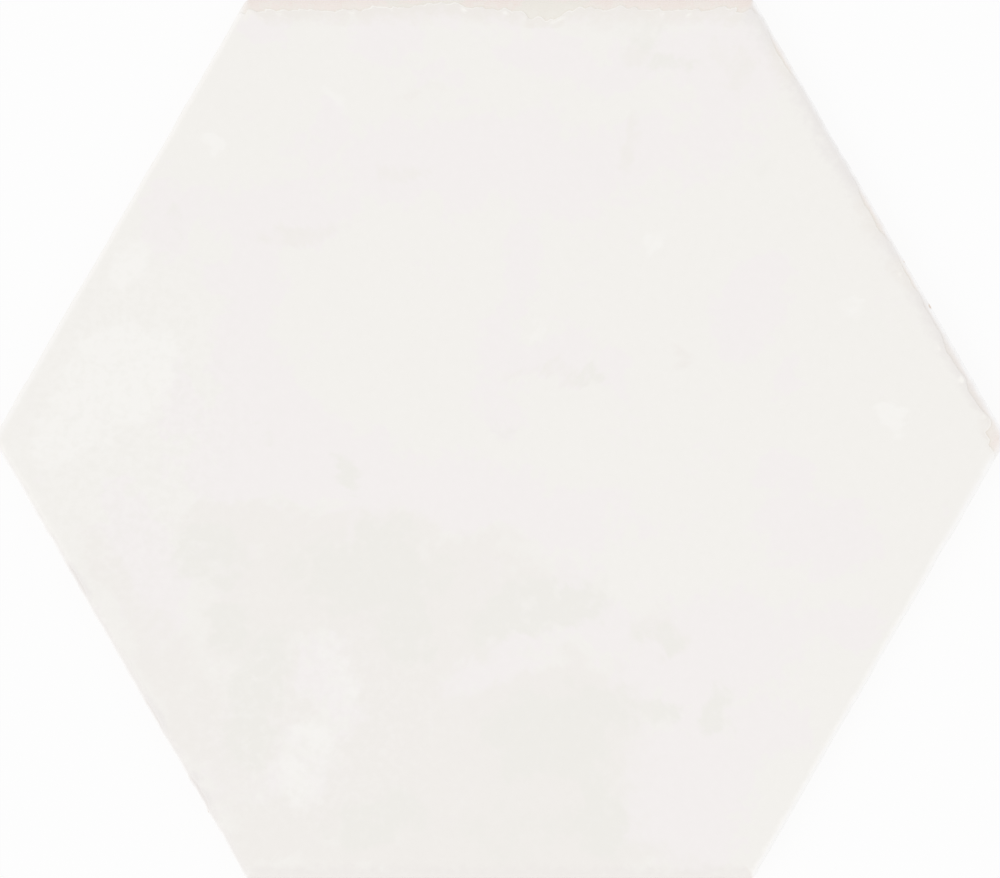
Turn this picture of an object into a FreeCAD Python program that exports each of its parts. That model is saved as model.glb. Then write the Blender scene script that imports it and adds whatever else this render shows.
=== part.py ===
import FreeCAD, Part

import math
import os

import Sketcher

# A pressed and glazed floor tile, one regular hexagon. It lies on its back with the glazed
# face up. Two of its corners are on the X axis, +Y is the side with the widest bare arris,
# and the origin is the middle of the back.

doc = FreeCAD.newDocument("hexagon_floor_tile")

# The driving dimensions, in millimetres and degrees: name, value, what it is.
dimensions = [
    ("across_flats", 230, "side to opposite side, at the calibre band"),
    ("thickness", 9, "back ribs to glazed face"),
    ("corner_radius", 2, "the six upright corners"),
    ("band_bottom", 3, "start of the upright calibre band, above the back"),
    ("band_height", 2.5, "height of the calibre band, where neighbours meet"),
    ("back_draft", 4, "lean of the sides below the band"),
    ("face_draft", 1.5, "lean of the sides above the band"),
    ("back_chamfer", 1, "arris round the back"),
    ("arris_drop", 1.4, "how far the cushioned arris falls below the face"),
    ("arris_top", 4.8, "width of the arris on the +Y side, where the clay is bare"),
    ("arris_upper_right", 2.4, "width of the arris on the side 30 degrees above +X"),
    ("arris_lower_right", 1.2, "width of the arris on the side 30 degrees below +X"),
    ("arris_bottom", 1.8, "width of the arris on the -Y side"),
    ("arris_lower_left", 1.6, "width of the arris on the side 30 degrees below -X"),
    ("arris_upper_left", 1.2, "width of the arris on the side 30 degrees above -X"),
    ("arris_ripple", 0.22, "how far the arris line wanders, as a share of its width"),
    ("ripple_length", 52, "length of one wander of the arris line"),
    ("cell_pitch", 22, "between the middles of neighbouring back cells"),
    ("rib_width", 3, "rib between two cells, on the surface of the back"),
    ("cell_depth", 1, "how deep the cells are pressed"),
    ("cell_draft", 20, "lean of the cell walls"),
    ("back_margin", 6, "least plain border round the cells"),
]

SIDES = 6
TURN = 360 / SIDES

# The tile's sides are numbered counterclockwise, and side 0 faces 30 degrees above +X. The
# back cells are turned the other way, with a side facing +X.
TILE_FIRST_SIDE = 30
CELL_FIRST_SIDE = 0
ARRIS_OF_SIDE = [
    "arris_upper_right",
    "arris_top",
    "arris_upper_left",
    "arris_lower_left",
    "arris_bottom",
    "arris_lower_right",
]

# The arris is a quarter of an ellipse, drawn at these angles of it.
ARRIS_ANGLES = [0, 30, 60, 90]
POINTS_ON_SIDE = 9

# The cells fill three like rhombi round the middle one, and rows of a rhombus lean this way.
ROW_LEAN = -2 * TURN

# A face is on the back when no point of it is higher than this.
LEVEL_TOLERANCE = 0.001


def fill_sheet():
    sheet = doc.addObject("Spreadsheet::Sheet", "Dimensions")
    for row, (name, value, meaning) in enumerate(dimensions, start=1):
        sheet.set(f"A{row}", name)
        sheet.set(f"B{row}", str(value))
        sheet.set(f"C{row}", meaning)
        sheet.setAlias(f"B{row}", name)
    doc.recompute()
    return sheet


sheet = fill_sheet()


def size(name):
    return float(getattr(sheet, name))


def outward(angle):
    return FreeCAD.Vector(math.cos(math.radians(angle)), math.sin(math.radians(angle)), 0)


def origin_item(body, role):
    return next(item for item in body.Origin.OriginFeatures if item.Role == role)


def new_sketch(body, name, height="0", along="0"):
    sketch = body.newObject("Sketcher::SketchObject", name)
    sketch.AttachmentSupport = [(origin_item(body, "XY_Plane"), "")]
    sketch.MapMode = "FlatFace"
    sketch.setExpression("AttachmentOffset.Base.x", along)
    sketch.setExpression("AttachmentOffset.Base.z", height)
    return sketch


def constrain(sketch, expression, *constraint):
    number = sketch.addConstraint(Sketcher.Constraint(*constraint))
    sketch.setExpression(f"Constraints[{number}]", expression)


def corner_centres(distances, radius, first_side):
    # A rounded corner touches its two sides, so its centre is the radius inside both.
    centres = []
    for side in range(SIDES):
        here = outward(first_side + side * TURN)
        after = outward(first_side + (side + 1) * TURN)
        here_far = distances[side] - radius
        after_far = distances[(side + 1) % SIDES] - radius
        spread = math.sin(math.radians(TURN))
        centres.append(FreeCAD.Vector(
            (here_far * after.y - after_far * here.y) / spread,
            (after_far * here.x - here_far * after.x) / spread,
            0,
        ))
    return centres


def side_ends(side, centres, radius, first_side):
    reach = outward(first_side + side * TURN) * radius
    return centres[side - 1] + reach, centres[side] + reach


def corner_arc(side, centres, radius, first_side):
    start = math.radians(first_side + side * TURN)
    circle = Part.Circle(centres[side], FreeCAD.Vector(0, 0, 1), radius)
    return Part.ArcOfCircle(circle, start, start + math.radians(TURN))


def draw_sides(sketch, distance, distance_rule, radius, first_side):
    # Six lines, each held by its direction and its distance from the sketch's middle.
    centres = corner_centres([distance] * SIDES, radius, first_side)
    for side in range(SIDES):
        sketch.addGeometry(Part.LineSegment(*side_ends(side, centres, radius, first_side)))
    for side in range(SIDES):
        lean = (first_side + side * TURN + 270) % 360 - 180
        sketch.addConstraint(Sketcher.Constraint("Angle", side, math.radians(lean)))
        constrain(sketch, distance_rule, "Distance", -1, 1, side, distance)
    return centres


def sharp_hexagon(sketch, distance, distance_rule, first_side):
    draw_sides(sketch, distance, distance_rule, 0, first_side)
    for side in range(SIDES):
        after = (side + 1) % SIDES
        sketch.addConstraint(Sketcher.Constraint("Coincident", side, 2, after, 1))


def tile_outline(body, name, height):
    # The widest outline of the tile, with its corners rounded.
    sketch = new_sketch(body, name, height)
    distance = size("across_flats") / 2
    radius = size("corner_radius")
    centres = draw_sides(
        sketch, distance, "Dimensions.across_flats / 2", radius, TILE_FIRST_SIDE)
    for side in range(SIDES):
        after = (side + 1) % SIDES
        corner = sketch.addGeometry(corner_arc(side, centres, radius, TILE_FIRST_SIDE))
        sketch.addConstraint(Sketcher.Constraint("Tangent", side, 2, corner, 1))
        sketch.addConstraint(Sketcher.Constraint("Tangent", corner, 2, after, 1))
        constrain(sketch, "Dimensions.corner_radius", "Radius", corner, radius)
    return sketch


def pad(body, name, profile, length, draft="0", downwards=False):
    feature = body.newObject("PartDesign::Pad", name)
    feature.Profile = profile
    feature.setExpression("Length", length)
    feature.setExpression("TaperAngle", draft)
    feature.Reversed = downwards
    return feature


def press_blank(body):
    # An upright band round the middle, and sides that lean in above and below it.
    band_top = "Dimensions.band_bottom + Dimensions.band_height"
    low = tile_outline(body, "band_bottom_outline", "Dimensions.band_bottom")
    high = tile_outline(body, "band_top_outline", band_top)
    shoulder = "Dimensions.thickness - Dimensions.arris_drop"
    pad(body, "calibre_band", low, "Dimensions.band_height")
    pad(body, "drafted_side", high, f"{shoulder} - ({band_top})", "-Dimensions.face_draft")
    return pad(
        body, "drafted_back", low, "Dimensions.band_bottom", "-Dimensions.back_draft", True)


def chamfer_back(body, blank):
    doc.recompute()
    faces = enumerate(blank.Shape.Faces, start=1)
    lowest = [f"Face{number}" for number, face in faces
              if face.BoundBox.ZMax < LEVEL_TOLERANCE]
    chamfer = body.newObject("PartDesign::Chamfer", "back_arris")
    chamfer.Base = (blank, lowest)
    chamfer.setExpression("Size", "Dimensions.back_chamfer")


def rippled_side(start, end, width, side):
    # The ripple dies out at both ends, so that the side still meets its corners' arcs.
    along = end - start
    inward = outward(TILE_FIRST_SIDE + side * TURN) * -1
    waves = along.Length / size("ripple_length")
    swing = width * size("arris_ripple")
    points = []
    for step in range(POINTS_ON_SIDE):
        share = step / (POINTS_ON_SIDE - 1)
        wave = math.sin(2 * math.pi * waves * share + side) * math.sin(math.pi * share)
        points.append(start + along * share + inward * (swing * wave))
    curve = Part.BSplineCurve()
    curve.interpolate(points)
    return curve


def arris_section(body, angle):
    # One level of the arris, where each side has come in by its share of its own width.
    sine = math.sin(math.radians(angle))
    share = 1 - math.cos(math.radians(angle))
    level = f"Dimensions.thickness - Dimensions.arris_drop * (1 - {sine})"
    sketch = new_sketch(body, f"arris_level_{angle}", level)
    band_top = size("band_bottom") + size("band_height")
    rise = size("thickness") - size("arris_drop") - band_top
    lean = rise * math.tan(math.radians(size("face_draft")))
    shoulder = size("across_flats") / 2 - lean
    radius = size("corner_radius") - lean
    widths = [size(name) * share for name in ARRIS_OF_SIDE]
    centres = corner_centres([shoulder - width for width in widths], radius, TILE_FIRST_SIDE)
    for side in range(SIDES):
        start, end = side_ends(side, centres, radius, TILE_FIRST_SIDE)
        sketch.addGeometry(rippled_side(start, end, widths[side], side))
        sketch.addGeometry(corner_arc(side, centres, radius, TILE_FIRST_SIDE))
    return sketch


def cushion_arris(body):
    sections = [arris_section(body, angle) for angle in ARRIS_ANGLES]
    loft = body.newObject("PartDesign::AdditiveLoft", "cushioned_arris")
    loft.Profile = sections[0]
    loft.Sections = sections[1:]
    loft.Ruled = True


def press_cell(body, name, along):
    sketch = new_sketch(body, f"{name}_mouth", along=along)
    reach = (size("cell_pitch") - size("rib_width")) / 2
    rule = "(Dimensions.cell_pitch - Dimensions.rib_width) / 2"
    sharp_hexagon(sketch, reach, rule, CELL_FIRST_SIDE)
    pocket = body.newObject("PartDesign::Pocket", name)
    pocket.Profile = sketch
    pocket.Reversed = True
    pocket.setExpression("Length", "Dimensions.cell_depth")
    pocket.setExpression("TaperAngle", "-Dimensions.cell_draft")
    return sketch, pocket


def lean_line(sketch):
    # A construction line through the sketch's middle, which gives a row its direction.
    end = outward(ROW_LEAN) * size("cell_pitch")
    line = sketch.addGeometry(Part.LineSegment(FreeCAD.Vector(), end), True)
    sketch.addConstraint(Sketcher.Constraint("Coincident", line, 1, -1, 1))
    sketch.addConstraint(Sketcher.Constraint("Angle", line, math.radians(ROW_LEAN)))
    constrain(sketch, "Dimensions.cell_pitch", "Distance", line, size("cell_pitch"))
    return sketch, ["Axis0"]


def cell_row(body, name, direction, count):
    row = body.newObject("PartDesign::LinearPattern", name)
    row.Direction = direction
    row.Mode = "Spacing"
    row.setExpression("Offset", "Dimensions.cell_pitch")
    row.setExpression("Occurrences", count)
    return row


def key_back(body):
    # The honeycomb that keys the tile into its bed: a middle cell with as many rings of
    # cells round it as the margin leaves room for.
    press_cell(body, "middle_cell", "0")
    sketch, first = press_cell(body, "first_cell", "Dimensions.cell_pitch")
    room = "Dimensions.across_flats / 2 - Dimensions.back_margin - Dimensions.cell_pitch / sqrt(3)"
    rings = f"floor(({room}) / (Dimensions.cell_pitch * sqrt(3) / 2))"
    comb = body.newObject("PartDesign::MultiTransform", "honeycomb")
    comb.Originals = [first]
    comb.Refine = False
    outwards = cell_row(body, "cells_outwards", (origin_item(body, "X_Axis"), [""]), rings)
    leaning = cell_row(body, "cells_leaning", lean_line(sketch), f"{rings} + 1")
    around = body.newObject("PartDesign::PolarPattern", "cells_around")
    around.Axis = (origin_item(body, "Z_Axis"), [""])
    around.Angle = 360
    around.Occurrences = SIDES // 2
    comb.Transformations = [outwards, leaning, around]
    body.Tip = comb
    return first, comb


def check_cells(first, comb):
    # Every cell takes the same bite, so the honeycomb's volume says how many were cut.
    one_cell = first.BaseFeature.Shape.Volume - first.Shape.Volume
    cut = first.BaseFeature.Shape.Volume - comb.Shape.Volume
    outwards, leaning, around = comb.Transformations
    asked = outwards.Occurrences * leaning.Occurrences * around.Occurrences
    found = round(cut / one_cell)
    if found != asked:
        raise RuntimeError(f"{found} cells round the middle one, not {asked}")
    print(f"{asked + 1} back cells, {one_cell:.0f} cubic millimetres each")


def hexagon_tile():
    body = doc.addObject("PartDesign::Body", "hexagon_tile")
    body.Label = "hexagon_tile"
    blank = press_blank(body)
    chamfer_back(body, blank)
    cushion_arris(body)
    first, comb = key_back(body)
    doc.recompute()
    check_cells(first, comb)
    return body


def check_document():
    for item in doc.Objects:
        if "Invalid" in item.State or "Error" in item.State:
            raise RuntimeError(f"{item.Name} did not build: {item.State}")


def write_piece(piece):
    shape = piece.Shape
    if shape.isNull() or not shape.isValid() or len(shape.Solids) != 1:
        raise RuntimeError(f"{piece.Label} is not one sound solid")
    box = shape.BoundBox
    print(f"{piece.Label}: {box.XLength:.2f} x {box.YLength:.2f} x {box.ZLength:.2f} mm,",
          f"{shape.Volume / 1000:.1f} cubic centimetres, {len(shape.Faces)} faces")
    shape.exportStep(f"parts/{piece.Label}.step")


tile = hexagon_tile()
doc.recompute()
check_document()
os.makedirs("parts", exist_ok=True)
write_piece(tile)
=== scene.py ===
import math

import bpy
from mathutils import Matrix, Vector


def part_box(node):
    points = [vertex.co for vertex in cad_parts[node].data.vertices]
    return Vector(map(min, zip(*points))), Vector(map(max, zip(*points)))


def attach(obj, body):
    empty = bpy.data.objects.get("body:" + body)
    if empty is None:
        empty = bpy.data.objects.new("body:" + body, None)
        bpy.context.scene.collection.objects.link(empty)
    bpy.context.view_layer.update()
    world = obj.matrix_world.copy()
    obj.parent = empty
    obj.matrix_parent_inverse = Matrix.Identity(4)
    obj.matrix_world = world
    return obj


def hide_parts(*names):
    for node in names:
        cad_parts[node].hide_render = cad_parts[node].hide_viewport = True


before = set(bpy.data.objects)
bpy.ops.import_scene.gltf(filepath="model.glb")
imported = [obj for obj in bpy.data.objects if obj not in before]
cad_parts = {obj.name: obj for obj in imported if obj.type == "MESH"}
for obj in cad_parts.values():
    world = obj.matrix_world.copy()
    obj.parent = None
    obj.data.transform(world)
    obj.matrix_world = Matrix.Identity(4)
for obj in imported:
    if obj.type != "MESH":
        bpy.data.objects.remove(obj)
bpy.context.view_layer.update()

# A hexagonal floor tile in an off-white satin glaze, seen from straight above. The whole
# tile is one mesh grown by Geometry Nodes: face, arris, sides and the ribbed back.

tileLow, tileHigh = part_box("hexagon_tile")
mm = 0.001
sideTurn = math.radians(60)
halfSideTurn = math.radians(30)
sideNames = ["Upper Right", "Top", "Upper Left", "Lower Left", "Bottom", "Lower Right"]
surfaceNames = ["Glaze", "Clay", "Back"]


# Node trees are written as arithmetic: a Field is a value on its way through a tree, and
# each sign or call on it adds the Math node that does the same.
class Field:
    def __init__(self, tree, socket):
        self.tree = tree
        self.socket = socket

    def math(self, operation, *others):
        node = self.tree.nodes.new("ShaderNodeMath")
        node.operation = operation
        for slot, value in zip(node.inputs, (self,) + others):
            plugIn(self.tree, slot, value)
        return Field(self.tree, node.outputs[0])

    def __add__(self, other):
        return self.math("ADD", other)

    def __sub__(self, other):
        return self.math("SUBTRACT", other)

    def __mul__(self, other):
        return self.math("MULTIPLY", other)

    def __truediv__(self, other):
        return self.math("DIVIDE", other)

    def __pow__(self, other):
        return self.math("POWER", other)

    def atLeast(self, other):
        return self.math("MAXIMUM", other)

    def atMost(self, other):
        return self.math("MINIMUM", other)

    def flipped(self):  # one minus this
        return (self * -1) + 1

    def ramp(self, low, high):  # smooth step from 0 at low to 1 at high
        return remap(self, low, high, 0, 1)


def plugIn(tree, slot, value):
    if isinstance(value, Field):
        tree.links.new(value.socket, slot)
    else:
        slot.default_value = value


def addNode(tree, kind, inputs=None, **settings):
    node = tree.nodes.new(kind)
    for name, value in settings.items():
        setattr(node, name, value)
    for name, value in (inputs or {}).items():
        slots = [slot for slot in node.inputs if slot.enabled and slot.name == name]
        plugIn(tree, slots[0], value)
    return node


def result(node, name=None):
    outputs = [slot for slot in node.outputs if slot.enabled and name in (None, slot.name)]
    return Field(node.id_data, outputs[0])


def remap(value, fromLow, fromHigh, toLow, toHigh):
    return result(addNode(value.tree, "ShaderNodeMapRange", {
        "Value": value, "From Min": fromLow, "From Max": fromHigh,
        "To Min": toLow, "To Max": toHigh}, interpolation_type="SMOOTHSTEP"))


def mixFloat(factor, first, second):
    return result(addNode(factor.tree, "ShaderNodeMix", {
        "Factor": factor, "A": first, "B": second}, data_type="FLOAT"))


def combine(tree, x, y, z):
    return result(addNode(tree, "ShaderNodeCombineXYZ", {"X": x, "Y": y, "Z": z}))


def separate(vector):
    node = addNode(vector.tree, "ShaderNodeSeparateXYZ", {"Vector": vector})
    return [result(node, axis) for axis in "XYZ"]


def vectorMath(operation, first, second=None, factor=None):
    node = addNode(first.tree, "ShaderNodeVectorMath", operation=operation)
    plugIn(first.tree, node.inputs[0], first)
    if second is not None:
        plugIn(first.tree, node.inputs[1], second)
    if factor is not None:
        plugIn(first.tree, node.inputs["Scale"], factor)
    return result(node)


def noise(vector, scale, detail=2.0, roughness=0.5, seed=None):
    inputs = {"Vector": vector, "Scale": scale, "Detail": detail, "Roughness": roughness}
    if seed is not None:
        inputs["W"] = seed
    return result(addNode(vector.tree, "ShaderNodeTexNoise", inputs,
                          noise_dimensions="3D" if seed is None else "4D"))


# A socket is told by its value, or by the name of its type where it has none.
socketTypes = {float: "NodeSocketFloat", int: "NodeSocketInt", tuple: "NodeSocketVector"}
anywhere = (0.0, 0.0, 0.0)


def newTree(name, kind, inputs, outputs):
    tree = bpy.data.node_groups.new(name, kind)
    for label, value in inputs.items():
        socketType = socketTypes.get(type(value), value)
        socket = tree.interface.new_socket(label, in_out="INPUT", socket_type=socketType)
        if socketType != value:
            socket.default_value = value
    for label, value in outputs.items():
        tree.interface.new_socket(
            label, in_out="OUTPUT", socket_type=socketTypes.get(value, value))
    entry = tree.nodes.new("NodeGroupInput")
    leave = tree.nodes.new("NodeGroupOutput")
    given = {slot.name: Field(tree, slot) for slot in entry.outputs if slot.name}
    return tree, given, leave


def feed(node, **values):
    for name, value in values.items():
        plugIn(node.id_data, node.inputs[name.replace("_", " ")], value)


def useGroup(tree, group, inputs):
    kind = "GeometryNodeGroup" if tree.type == "GEOMETRY" else "ShaderNodeGroup"
    node = tree.nodes.new(kind)
    node.node_tree = group
    for name, value in inputs.items():
        plugIn(tree, node.inputs[name], value)
    return node


# The tile's body. Lengths are in millimetres and angles in degrees; the outline and the
# thickness come from the frame.
tileBody = {
    "cornerRadius": 2.0,
    "bandBottom": 3.0,
    "bandHeight": 2.5,
    "backDraft": 4.0,
    "faceDraft": 1.5,
    "backChamfer": 1.0,
    "arrisDrop": 1.4,
    "arrisWidths": [2.4, 4.8, 1.2, 1.6, 1.8, 1.2],  # in the order of sideNames
    "bareWidths": [0.8, 2.8, 0.12, 0.15, 0.15, 0.12],  # clay left outside the glaze line
    "thinWidths": [5.4, 5.8, 1.8, 2.4, 4.6, 2.0],  # where the glaze changes towards its edge
    "tipThin": 0.45,  # how much narrower that is towards the left and right corners
    # What it changes to: 0 thin over pink clay, 1 smoked grey, -1 painted light, pale and milky
    # against the shade of the steep arris.
    "rimShares": [1.0, 0.0, -0.5, 0.8, 0.6, -1.0],
    "rubWidths": [1.5, 1.0, 1.7, 0.8, 1.0, 1.9],  # the outermost edge, painted pale as light against the shade of the steep arris
    "rubShares": [1.0, 0.0, 0.45, 0.7, 0.0, 0.76],  # how pale it is
    "tipRub": 0.3,  # how much wider it is towards those corners
    "tipReach": (0.5, 0.05),  # the shares of a side over which both come in
    "wearDepths": [0.3, 0.1, 0.3, 0.5, 0.1, 0.3],  # the furthest that the outline has worn in
    "nicksPerMetre": 75.0,  # how close together its worn places lie
    "bareCorner": 3.4,  # extra bare clay at the right-hand corner
    "cornerReach": (0.08, 0.02),  # the shares of a side over which it comes in
    "wandersPerMetre": 55.0,  # the glaze line strays in slow waves
    "fraysPerMetre": 420.0,  # and in fine ones
    "bareWander": 2.2,  # by these shares of the bare clay's width
    "bareFray": 1.3,
    "arrisWander": 0.8,  # and this one of the arris
    "leastBare": 0.06,
    "leastLip": 0.3,  # from the glaze line in to where the arris ends
    "arrisSpare": 0.4,  # added to the arris, under the glaze
    # Where the glaze line dips in further: x, y, half length and how much, in millimetres,
    # and how much less smoked it is there.
    "glazeDips": [(12.0, 115.0, 6.0, 2.0, 0.0), (-16.0, 115.0, 8.0, -1.5, 0.0),
                  (34.0, 115.0, 3.0, -0.9, 0.0), (52.0, 115.0, 9.0, 0.4, 0.0),
                  (-66.4, 115.0, 2.0, 1.6, 0.0), (66.4, 115.0, 2.0, 0.9, 0.0),
                  (74.0, 100.0, 4.0, 0.6, 0.85), (98.0, 58.0, 5.0, 0.9, 0.85),
                  (107.0, 42.0, 4.0, 0.7, 0.85), (114.0, 32.0, 4.0, 0.5, 0.2),
                  (120.5, 20.5, 4.5, 1.3, 0.3), (127.0, 9.5, 4.0, 1.5, 0.3),
                  (132.0, 0.0, 4.5, 0.0, 0.85),
                  (-111.0, -36.0, 3.5, 1.1, -0.6), (-91.0, -73.0, 3.5, 0.8, -0.5),
                  (-78.0, -91.0, 4.0, 1.1, -0.6)],
    "mostWarmth": 0.85,  # the most of the smoke that dips take away
    "sideBlend": 0.07,  # how much of a side the arris takes to change to the next width
    "glazeBlend": 0.02,  # and how much the glaze line takes
    "glazeThickness": 0.22,
    "beadHeight": 0.14,  # where the glaze has drawn up at its edge
    "beadsPerMetre": 270.0,
    "apronWidth": 8.0,  # from the shoulder in to the hem
    "hemWidth": 0.9,  # a row of triangles between the fine edge and the coarser face
    "faceLevel": 7,
    "bandRows": {"apron": 11, "lip": 4, "clay": 7, "side": 9, "chamfer": 2},
    "apronCrowding": 2.2,  # how far the rows crowd towards the glaze line
    "clayCrowding": 1.6,
    "straightShare": 0.92,  # the part of a side's points that lies on its straight run
    "seed": 11.0,
}


def outlineGroup():
    # A point of a rounded hexagon. Around runs from 0 to 6, a whole number at each corner.
    tree, given, leave = newTree("roundedHexagon", "GeometryNodeTree", {
        "Around": 0.0, "Distance": 0.1, "Corner Radius": 0.0, "Straight Share": 1.0,
    }, {"Position": tuple})
    side = given["Around"].math("FLOOR")
    along = (given["Around"] - side) * 2 - 1
    far = along.math("ABSOLUTE")
    share = given["Straight Share"]
    bend = ((far - share) / share.flipped()).atLeast(0) * halfSideTurn
    straight = (far / share).atMost(1) * (given["Distance"] - given["Corner Radius"])
    reach = straight * math.tan(halfSideTurn) + given["Corner Radius"] * bend.math("SINE")
    sideways = reach * along.math("SIGN")
    outwards = given["Distance"] - given["Corner Radius"] * bend.math("COSINE").flipped()
    angle = side * sideTurn + halfSideTurn
    cosine, sine = angle.math("COSINE"), angle.math("SINE")
    feed(leave, Position=combine(
        tree, outwards * cosine - sideways * sine, outwards * sine + sideways * cosine, 0.0))
    return tree


def sideWidthGroup():
    # Each side has its own width, and the widths change smoothly round the corners.
    inputs = {"Around": 0.0, "Blend": 0.1, **{name: 0.001 for name in sideNames}}
    tree, given, leave = newTree("widthOfSide", "GeometryNodeTree", inputs, {"Width": float})
    width = None
    for side, name in enumerate(sideNames):
        away = (given["Around"] - (side + 0.5)).math("WRAP", 3.0, -3.0).math("ABSOLUTE")
        weight = remap(away, given["Blend"] * -1 + 0.5, given["Blend"] + 0.5, 1.0, 0.0)
        term = weight * given[name]
        width = term if width is None else width + term
    feed(leave, Width=width)
    return tree


def arrisGroup():
    # Height of the pressed clay: a quarter of an ellipse from the shoulder up to the face.
    tree, given, leave = newTree("arrisHeight", "GeometryNodeTree", {
        "Inward": 0.0, "Arris Width": 0.001, "Face Height": 0.009, "Arris Drop": 0.001,
    }, {"Height": float})
    left = (given["Inward"] / given["Arris Width"]).atMost(1).atLeast(0).flipped()
    rise = (left * left).flipped().atLeast(0).math("SQRT")
    feed(leave, Height=given["Face Height"] - given["Arris Drop"] * rise.flipped())
    return tree


def softPatchGroup():
    # A soft oval, somewhere on the face: where it lies, its half sizes and how it is turned.
    tree, given, leave = newTree("softPatch", "GeometryNodeTree", {
        "Place": anywhere, "Centre": anywhere, "Half Length": 10.0, "Half Width": 5.0,
        "Turn": 0.0}, {"Mask": float})
    x, y = separate(vectorMath("SUBTRACT", given["Place"], given["Centre"]))[:2]
    cosine, sine = given["Turn"].math("COSINE"), given["Turn"].math("SINE")
    lengthwise = (x * cosine + y * sine) / given["Half Length"]
    crosswise = (y * cosine - x * sine) / given["Half Width"]
    away = (lengthwise * lengthwise + crosswise * crosswise).math("SQRT")
    feed(leave, Mask=away.ramp(1.3, 0.45))
    return tree


# Clouds in the glaze lie where the real ones do: the middle, half length and half width of
# each in millimetres, how strong it is (below zero it is a gap), and its turn in degrees.
cloudDrift = {"size": 15.0, "reach": 14.0}  # how their edges are drawn out, in millimetres
glazeClouds = {
    "rose": [
        (-4, 72, 48, 13, 0.9, -4), (-54, 59, 18, 10, 0.8), (-66, 32, 24, 10, 0.9, 80),
        (-60, -2, 26, 15, 0.9), (-18, -13, 38, 11, 0.9, -8), (64, 34, 16, 10, 0.8, 75),
        (84, -24, 20, 11, 0.8), (58, -54, 28, 15, 0.9, 15), (50, -92, 26, 17, 0.9, 80),
        (50, 78, 20, 10, 0.7), (56, 98, 16, 16, 0.8), (-94, -29, 18, 10, 0.8, -70),
        (4, 40, 26, 7, 0.7, 80), (26, -22, 18, 8, 0.7), (-84, 58, 12, 10, 0.7),
        (-30, -72, 60, 36, 0.5), (17, 21, 12, 7, 0.75), (-62, 109, 9, 4, 0.8),
        (-29, 105, 12, 5, 0.8), (13, 101, 14, 7, 0.9), (-13, 94, 9, 5, 0.6),
        (26, 94, 10, 6, 0.8), (-85, 10, 7, 10, 0.7), (-59, 12, 8, 10, 0.7), (0, 7, 10, 7, 0.6),
        (30, 17, 5, 6, 0.6), (72, 16, 6, 5, 0.9), (72, -9, 9, 6, 1.0), (-72, 43, 9, 6, 0.6),
        (20, -36, 7, 6, 0.6), (27, -48, 10, 7, 0.8), (92, -50, 9, 6, 0.9), (33, -63, 7, 7, 0.7),
        (72, -75, 11, 8, 0.9), (33, -101, 7, 6, 0.6), (6, 112, 60, 3, 0.5),
        (-90, -46, 10, 15, 0.6), (-70, -30, 9, 13, 0.5), (-44, -23, 17, 5, 0.6),
        (-7, -36, 8, 6, 0.6), (-26, -75, 10, 6, 0.5), (-46, 82, 6, 6, 0.7), (-7, 82, 6, 6, 0.4),
        (72, 43, 6, 6, 0.5), (-72, -84, 7, 12, 0.6), (33, -75, 6, 6, 0.5), (34, 98, 7, 6, 0.6),
        (7, 30, 6, 6, -0.5), (46, 84, 7, 7, -0.4), (33, -22, 6, 6, -0.4),
        (-98, -40, 6, 12, 0.5), (-30, -79, 10, 5, 0.5), (-5, -38, 8, 5, 0.5),
        (-48, -22, 14, 5, 0.4),
    ],
    "haze": [
        (-26, -78, 56, 36, 0.85), (-30, -36, 52, 16, 0.8), (-92, -52, 40, 8, 0.6, -60),
        (18, -84, 24, 34, 0.6), (42, -50, 10, 6, 0.6, 10), (5, -58, 26, 4, -0.7, 15),
        (-44, -64, 14, 8, -0.8, 110), (-52, -86, 16, 10, -0.6, 60), (-27, 71, 9, 3, 0.5),
        (-51, 54, 12, 3, 0.6), (14.5, 17, 12, 2.5, 0.6), (36, 78, 11, 3, 0.5, 90),
        (-22, 90, 9, 3, 0.5), (60, 99, 10, 3, 0.5, -70), (46, 20, 5, 4, 0.55),
        (-66, -21, 24, 6, 0.7), (-70, -50, 12, 8, 0.7), (-56, -100, 12, 8, 0.9),
        (0, -111, 58, 6, 0.6), (32, 109, 14, 4, 0.5), (-62, -107, 12, 6, 0.8),
        (37, 100, 5, 3, 0.6),
    ],
    "veil": [
        (-35, -35, 22, 12, 1.0), (9, -45, 21, 8, 0.9, 14), (-64, -68, 20, 8, 0.9, 80),
        (16, -76, 22, 13, 1.0, 14), (8, -102, 24, 8, 0.4), (-33, -100, 16, 9, 0.9, 20),
        (-76, -30, 12, 9, 0.8), (41, -51, 8, 4, 0.6, 15), (-40, -8, 4, 6, 0.9),
        (38, 105.5, 7.5, 5, 0.6), (22.5, 17, 5, 2.5, 0.5), (46, 20, 4, 3, 0.3),
        (0, 4, 5, 4, 0.5), (-61, 0, 5, 3, 0.5), (42, -71, 4, 3, 0.7), (57, -71, 6, 4, 0.7, 20),
        (-85, 57, 3, 5, 0.4), (70, 72, 4, 3, 0.4), (-73, -49, 6, 7, 0.9),
        (46, 98, 7, 3.5, 0.6, 10), (-25, -52, 8, 6, 0.8, 90), (27, -98, 14, 6, 0.8, 90),
    ],
    "milk": [
        (-101, 17, 18, 13, 1.0, 20), (-114, -1, 12, 7, 0.8), (-98, 46, 6, 10, 0.7, -30),
        (-42, -62, 11, 5, 0.45, 110), (-50, -84, 14, 8, 0.5, 60), (-76, 79, 4, 4, 0.9),
        (102, 6, 4, 4, 0.9), (93, 34, 5, 4, 0.5), (41, 52, 4, 5, 0.5), (11, 28, 4, 3, 0.5),
        (-42, 86, 3, 5, 0.4),
    ],
    "lively": [(-98, 4, 30, 52, 1.0), (-50, -75, 36, 30, 0.8)],
    "wash": [
        (-26, 113, 5, 4, 0.9), (-14, 114, 6, 3, 0.7), (7, 113, 6, 5, 0.9), (19, 112, 8, 5, 0.9),
    ],
}


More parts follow.
